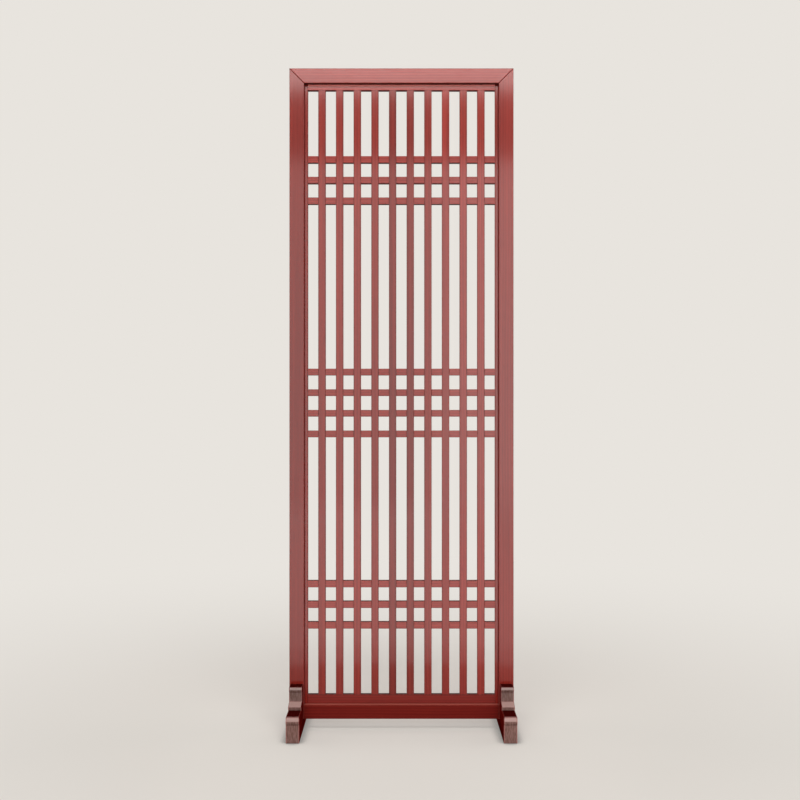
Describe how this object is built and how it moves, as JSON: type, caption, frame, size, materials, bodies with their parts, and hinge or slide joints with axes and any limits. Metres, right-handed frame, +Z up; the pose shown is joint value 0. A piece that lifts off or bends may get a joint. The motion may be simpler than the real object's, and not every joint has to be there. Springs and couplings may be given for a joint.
{
  "type": "lattice screen partition",
  "caption": "Free-standing one-panel wooden screen: mitred frame, recessed half-lapped lattice of upright and cross slats, profiled feet; divides a room and lets light through.",
  "frame": {"origin": "on the floor below the middle of the screen, at the middle of the feet's length", "axes": "+Z up, +X to the right as seen from the front, front faces -Y"},
  "size_m": [0.61, 0.3, 1.8],
  "materials": {
    "frame_lacquer": "satin red lacquer over fine lengthwise grain",
    "lattice_lacquer": "satin red lacquer over fine lengthwise grain",
    "foot_lacquer": "satin dark red lacquer",
    "bare_wood": "bare beech",
    "brass": "turned",
    "steel": "zinc plated"
  },
  "bodies": {
    "root": {"left_stile": "frame_lacquer", "right_stile": "frame_lacquer", "top_rail": "frame_lacquer", "bottom_rail": "frame_lacquer", "lattice_left_stile": "lattice_lacquer", "lattice_right_stile": "lattice_lacquer", "lattice_top_rail": "lattice_lacquer", "lattice_bottom_rail": "lattice_lacquer", "upright_slat_01": "lattice_lacquer", "upright_slat_02": "lattice_lacquer", "upright_slat_03": "lattice_lacquer", "upright_slat_04": "lattice_lacquer", "upright_slat_05": "lattice_lacquer", "upright_slat_06": "lattice_lacquer", "upright_slat_07": "lattice_lacquer", "upright_slat_08": "lattice_lacquer", "upright_slat_09": "lattice_lacquer", "upright_slat_10": "lattice_lacquer", "cross_slat_01": "lattice_lacquer", "cross_slat_02": "lattice_lacquer", "cross_slat_03": "lattice_lacquer", "cross_slat_04": "lattice_lacquer", "cross_slat_05": "lattice_lacquer", "cross_slat_06": "lattice_lacquer", "cross_slat_07": "lattice_lacquer", "cross_slat_08": "lattice_lacquer", "cross_slat_09": "lattice_lacquer", "cross_slat_10": "lattice_lacquer", "left_foot": "foot_lacquer", "right_foot": "foot_lacquer", "left_mitre_dowels": "bare_wood", "right_mitre_dowels": "bare_wood", "left_stile_inserts": "brass", "right_stile_inserts": "brass", "left_foot_bolts": "steel", "right_foot_bolts": "steel", "left_foot_washers": "steel", "right_foot_washers": "steel"}
  },
  "joints": []
}
